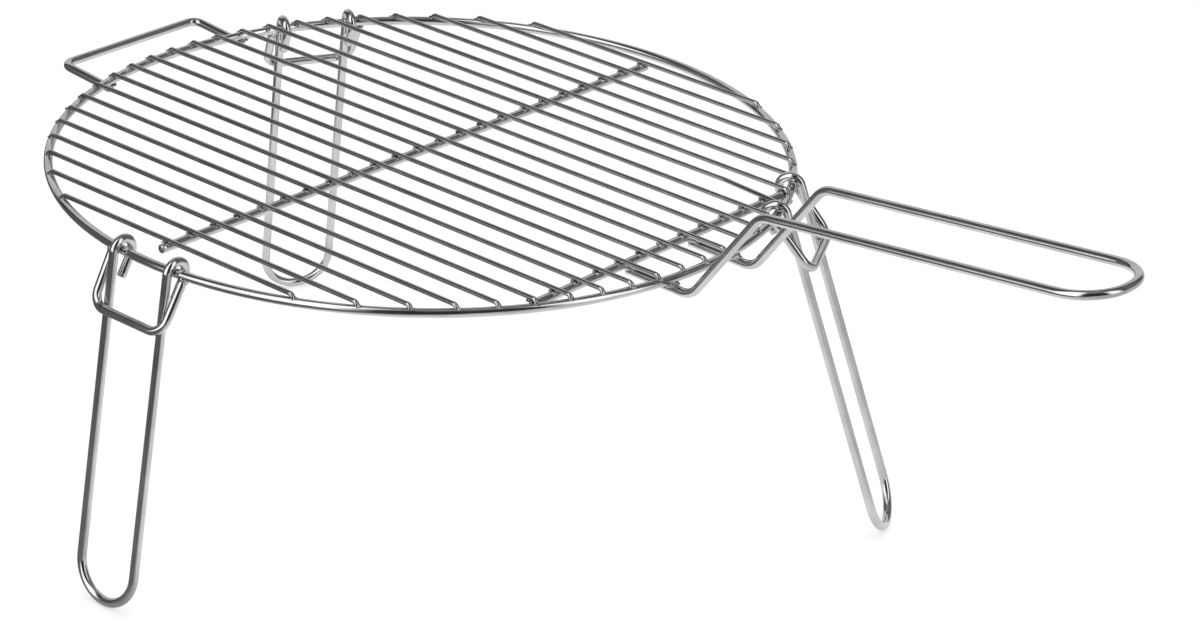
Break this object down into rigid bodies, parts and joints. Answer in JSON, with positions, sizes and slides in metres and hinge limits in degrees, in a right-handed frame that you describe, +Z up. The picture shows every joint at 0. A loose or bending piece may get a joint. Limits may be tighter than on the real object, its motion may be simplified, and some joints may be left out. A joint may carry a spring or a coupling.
{
  "type": "folding camp grill",
  "caption": "Round wire camp grill: parallel bars in a ring on folding wire legs, with a long loop handle and a small carry handle.",
  "frame": {"origin": "on the axis of the grate ring, at floor level, with the legs standing open", "axes": "+X along the grate bars towards the long handle, +Y along the cross rods away from the single front leg, +Z up"},
  "size_m": [0.7689, 0.4876, 0.2898],
  "materials": {
    "ring_wire": "bright plated steel wire",
    "grate_bar_wire": "bright plated steel wire",
    "cross_rod_wire": "bright plated steel wire with small spot welds",
    "leg_wire": "bright plated steel wire",
    "handle_wire": "bright plated steel wire",
    "stop_wire": "bright plated steel wire"
  },
  "bodies": {
    "grate": {"ring": "ring_wire", "bar_01": "grate_bar_wire", "bar_02": "grate_bar_wire", "bar_03": "grate_bar_wire", "bar_04": "grate_bar_wire", "bar_05": "grate_bar_wire", "bar_06": "grate_bar_wire", "bar_07": "grate_bar_wire", "bar_08": "grate_bar_wire", "bar_09": "grate_bar_wire", "bar_10": "grate_bar_wire", "bar_11": "grate_bar_wire", "bar_12": "grate_bar_wire", "bar_13": "grate_bar_wire", "bar_14": "grate_bar_wire", "bar_15": "grate_bar_wire", "bar_16": "grate_bar_wire", "bar_17": "grate_bar_wire", "bar_18": "grate_bar_wire", "bar_19": "grate_bar_wire", "bar_20": "grate_bar_wire", "bar_21": "grate_bar_wire", "bar_22": "grate_bar_wire", "bar_23": "grate_bar_wire", "cross_rod_middle": "cross_rod_wire", "cross_rod_handle_side": "cross_rod_wire", "long_handle": "handle_wire", "carry_handle": "stop_wire", "leg_stop_front": "stop_wire", "leg_stop_right": "stop_wire", "leg_stop_rear": "stop_wire"},
    "front_leg": {"leg_front": "leg_wire"},
    "right_leg": {"leg_right": "leg_wire"},
    "rear_leg": {"leg_rear": "leg_wire"}
  },
  "joints": [
    {"name": "front_leg_fold", "type": "hinge", "parent": "grate", "child": "front_leg", "pos_m": [0, -0.22141, 0.206], "axis": [1, 0, 0], "range_deg": [0, 99]},
    {"name": "right_leg_fold", "type": "hinge", "parent": "grate", "child": "right_leg", "pos_m": [0.19513, 0.10463, 0.206], "axis": [-0.4726, 0.8813, 0], "range_deg": [0, 108.4]},
    {"name": "rear_leg_fold", "type": "hinge", "parent": "grate", "child": "rear_leg", "pos_m": [-0.19567, 0.1036, 0.206], "axis": [-0.4679, -0.8838, 0], "range_deg": [0, 101]}
  ]
}
